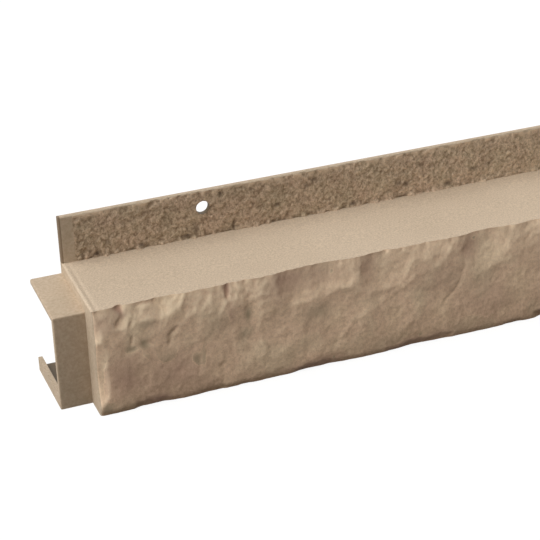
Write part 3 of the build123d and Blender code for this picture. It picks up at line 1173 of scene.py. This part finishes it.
# %% Flange
def paint_flange(tree, vector):
    """Thrown plaster: painted highlight on raised grains and painted shade on low ones and between the
    pebbles, a painted highlight on the top edge and painted shade in the pits along the foot.
    """
    painted_shading = read_attribute(tree, "painted_shading")
    # Painted shade for low grains and a painted highlight for raised ones.
    gap, grey, ridge_highlight = srgb(196, 174, 149), srgb(224, 202, 175), srgb(242, 220, 193)
    colour = add_ramp(tree, painted_shading, (0.15, gap), (0.5, grey), (0.85, ridge_highlight))
    clouds = add_ramp(
        tree, add_noise(tree, vector, 16.0), (0.35, srgb(240, 239, 233)), (0.65, srgb(249, 242, 239))
    )
    pebbles = add_pebbles(tree, vector, 1.8)
    # Painted shade between the pebbles, where the bumps are lowest.
    gap_shade = add_ramp(tree, pebbles, (0.4, WHITE), (0.9, srgb(208, 203, 199)))
    grain = add_noise(tree, vector, 2.0, 5.0, 0.75)
    speckle = add_ramp(tree, grain, (0.32, srgb(186, 180, 176)), (0.56, WHITE))
    for layer in (clouds, gap_shade, speckle):
        colour = tint(tree, colour, layer)
    stain_and_painted_light = read_attribute(tree, "stain_and_painted_light")
    # Painted shade in the pits and along the foot, then a painted highlight on the top edge.
    colour = add_mix(tree, stain_and_painted_light, colour, srgb(76, 60, 46))
    colour = add_mix(tree, turned(tree, stain_and_painted_light), colour, srgb(240, 214, 184))
    return colour, (turned(tree, pebbles), 0.3), (grain, 1.2)


# %% Plain moulding with painted shade, and the painted shade inside
END_SHADE_WIDTH = 1.2
FRONT_SKIN = 0.4


def paint_plain(tree, vector):
    """Moulded polymer under the same tan coat, with painted shade on the flange's end face and on the
    tongue's front.
    """
    clouds = add_ramp(
        tree, add_noise(tree, vector, 14.0), (0.3, srgb(190, 172, 148)), (0.7, srgb(198, 178, 154))
    )
    grain = add_noise(tree, vector, 1.6, 4.0, 0.6)
    mottle = add_ramp(tree, grain, (0.32, srgb(232, 228, 224)), (0.66, WHITE))
    colour = tint(tree, clouds, mottle)
    x, y, z = add_node(tree, "SeparateXYZ", {"Vector": vector}).outputs
    # Painted shade on the flange's left end face.
    at_end = add_math(tree, "LESS_THAN", x, ORIGIN.x / MM + END_SHADE_WIDTH)
    on_flange = add_math(tree, "GREATER_THAN", z, LEDGE_BACK)
    flange_end_shade = add_math(tree, "MULTIPLY", at_end, on_flange)
    colour = add_mix(tree, flange_end_shade, colour, srgb(132, 113, 92))
    # Painted shade on the tongue's front.
    on_tongue = add_math(tree, "LESS_THAN", x, ORIGIN.x / MM)
    at_front = add_math(tree, "LESS_THAN", y, ORIGIN.y / MM + TONGUE_FRONT + FRONT_SKIN)
    tongue_front_shade = add_math(tree, "MULTIPLY", on_tongue, at_front)
    colour = add_mix(tree, tongue_front_shade, colour, tint(tree, colour, srgb(233, 229, 225)))
    return colour, (grain, 0.1), (add_noise(tree, vector, 0.7, 2.0), 0.05)


def paint_inside(tree, vector):
    """The inside: a dark brown that is painted shade, with faint clouds."""
    clouds = add_noise(tree, vector, 18.0)
    colour = add_ramp(tree, clouds, (0.3, srgb(98, 82, 58)), (0.7, srgb(108, 90, 65)))
    return colour, (add_noise(tree, vector, 0.8, 2.0), 0.05)


# %% Give the trim its finishes
finishes = [
    # name, roughness and paint, in the order of the faces' numbers
    ("plain_moulding", 0.7, paint_plain),
    ("rock_face", 0.8, paint_rock),
    ("sanded_ledge", 0.75, paint_ledge),
    ("stucco_flange", 0.8, paint_flange),
    ("shaded_inside", 0.6, paint_inside),
]
for finish in finishes:
    trim.data.materials.append(make_finish(*finish))
print("finishes", [material.name for material in trim.data.materials])

# %% [markdown]
# ## Floor, light and background
# The photograph has a white ground and a soft light from the upper left that leaves the front faces at
# about half the brightness of the ledge. A wide sun lamp and a weak even world give that ratio, and a
# second weak sun from behind lets the open back be seen from the wall's side. The floor looks white to
# the camera and keeps a faint shadow, but gives little light back to the object.

# %% Floor
FLOOR_SIZE = 12
FLOOR_GLOW = 1.1
FLOOR_GLOW_SHARE = 0.8
FLOOR_SEEN_GREY = 0.9
FLOOR_LIGHT_GREY = 0.15

deselect_all()
bpy.ops.mesh.primitive_plane_add(size=FLOOR_SIZE, location=(0, 0, 0))
floor = bpy.context.object
floor.name = "floor"
floor_material = bpy.data.materials.new("pale_floor")
floor_material.use_nodes = True
floor_tree = floor_material.node_tree
floor_tree.nodes.clear()


def camera_share(tree):
    """One for rays that the camera sees straight, in gloss or through glass, and none for the rest."""
    path = add_node(tree, "LightPath", {})
    total = path.outputs["Is Camera Ray"]
    for name in ("Is Glossy Ray", "Is Transmission Ray"):
        total = add_math(tree, "MAXIMUM", total, path.outputs[name])
    return total


def mix_shaders(tree, share, first, second):
    """Mix two shaders by a share, a socket or a number."""
    return add_node(tree, "MixShader", {0: share, 1: first, 2: second}).outputs[0]


def diffuse(tree, grey):
    """A matt shader of one grey."""
    return add_node(tree, "BsdfDiffuse", {"Color": (grey, grey, grey, 1)}).outputs[0]


glow = add_node(floor_tree, "Emission", {"Strength": FLOOR_GLOW}).outputs[0]
seen = mix_shaders(floor_tree, FLOOR_GLOW_SHARE, diffuse(floor_tree, FLOOR_SEEN_GREY), glow)
lighting = diffuse(floor_tree, FLOOR_LIGHT_GREY)
surface = mix_shaders(floor_tree, camera_share(floor_tree), lighting, seen)
add_node(floor_tree, "OutputMaterial", {"Surface": surface})
floor.data.materials.append(floor_material)
print("floor", FLOOR_SIZE, "m wide")

# %% World
AMBIENT = 0.20
AMBIENT_COLOUR = (1.0, 0.95, 0.90, 1)
world = bpy.data.worlds.new("studio")
world.use_nodes = True
bpy.context.scene.world = world
world_tree = world.node_tree
world_tree.nodes.clear()
ambient = add_node(world_tree, "Background", {"Color": AMBIENT_COLOUR, "Strength": AMBIENT}).outputs[0]
backdrop = add_node(world_tree, "Background", {"Color": WHITE, "Strength": 1.0}).outputs[0]
sky = mix_shaders(world_tree, camera_share(world_tree), ambient, backdrop)
add_node(world_tree, "OutputWorld", {"Surface": sky})
print("even light", AMBIENT)

# %% Sun lamps
SUN_DISTANCE = 3
suns = [
    # direction that the light comes from, strength, width in degrees
    (Vector((-0.68, -0.08, 0.73)), 3.2, 75),
    (Vector((0.25, 0.93, 0.28)), 0.6, 40),
]
for light_from, strength, width in suns:
    deselect_all()
    bpy.ops.object.light_add(type="SUN", location=light_from * SUN_DISTANCE)
    sun = bpy.context.object
    sun.data.energy = strength
    sun.data.angle = math.radians(width)
    sun.rotation_euler = light_from.to_track_quat("Z", "Y").to_euler()
bpy.context.scene.view_settings.view_transform = "Standard"
print(len(suns), "sun lamps")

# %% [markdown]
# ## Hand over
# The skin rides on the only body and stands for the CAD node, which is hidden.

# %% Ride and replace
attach(trim, "root")
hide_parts("ledge_trim")
